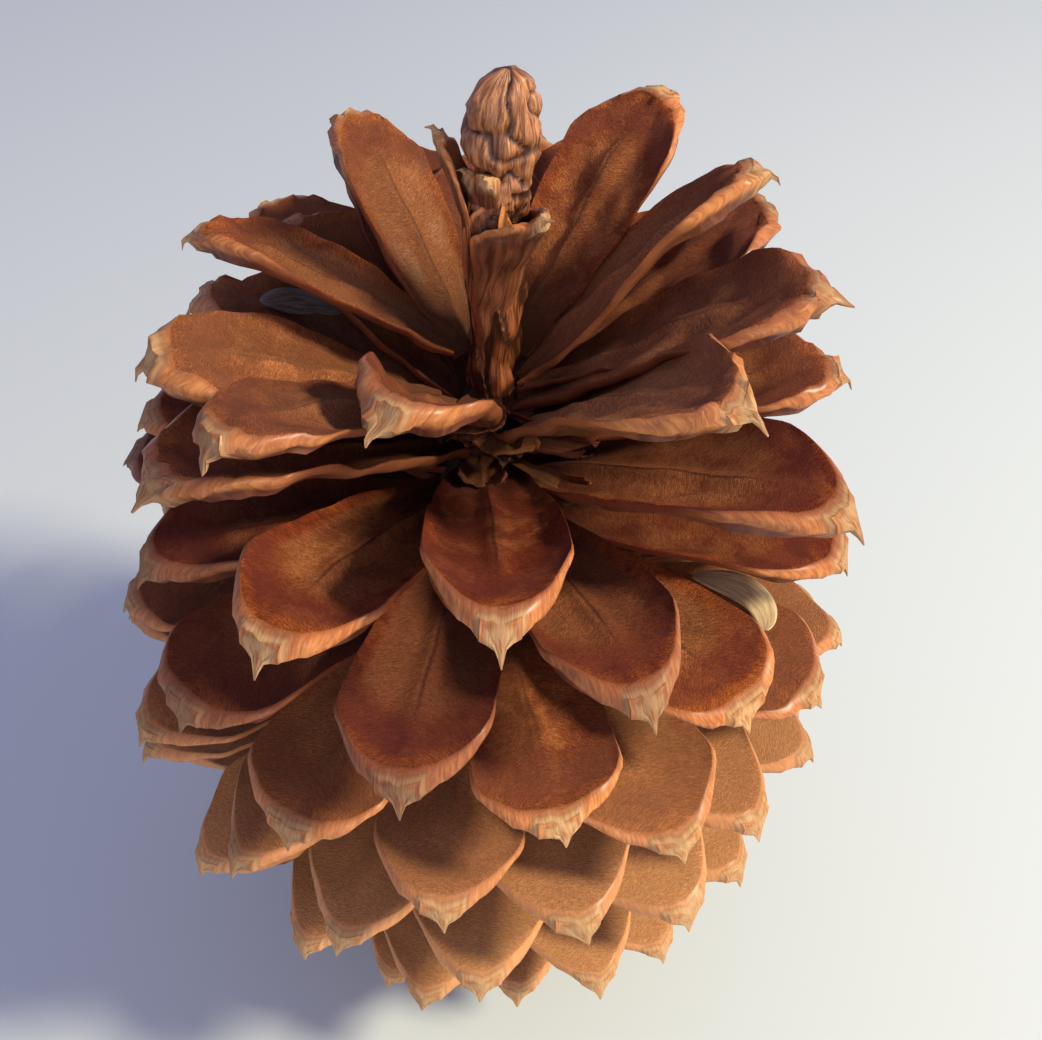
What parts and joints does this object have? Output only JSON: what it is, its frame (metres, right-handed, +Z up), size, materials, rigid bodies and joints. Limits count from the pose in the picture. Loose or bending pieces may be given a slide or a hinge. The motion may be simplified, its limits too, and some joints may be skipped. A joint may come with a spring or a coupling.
{
  "type": "pine cone",
  "caption": "Open jeffrey pine cone standing upright, woody scales with prickles in a spiral, a spike of closed scales on top and papery seed wings between scales.",
  "frame": {"origin": "middle of the flat stem scar that the cone stands on", "axes": "+Z up along the cone's axis from the stem scar to the spike, -Y towards the side with the best scales"},
  "size_m": [0.1348, 0.1341, 0.1945],
  "materials": {
    "cone_wood": "matt, dry woody scales with a slight sheen on the rims",
    "wing_paper": "thin, papery and slightly translucent straw"
  },
  "bodies": {
    "root": {"cone": "cone_wood", "seed_wing_left": "wing_paper", "seed_wing_right": "wing_paper"}
  },
  "joints": []
}
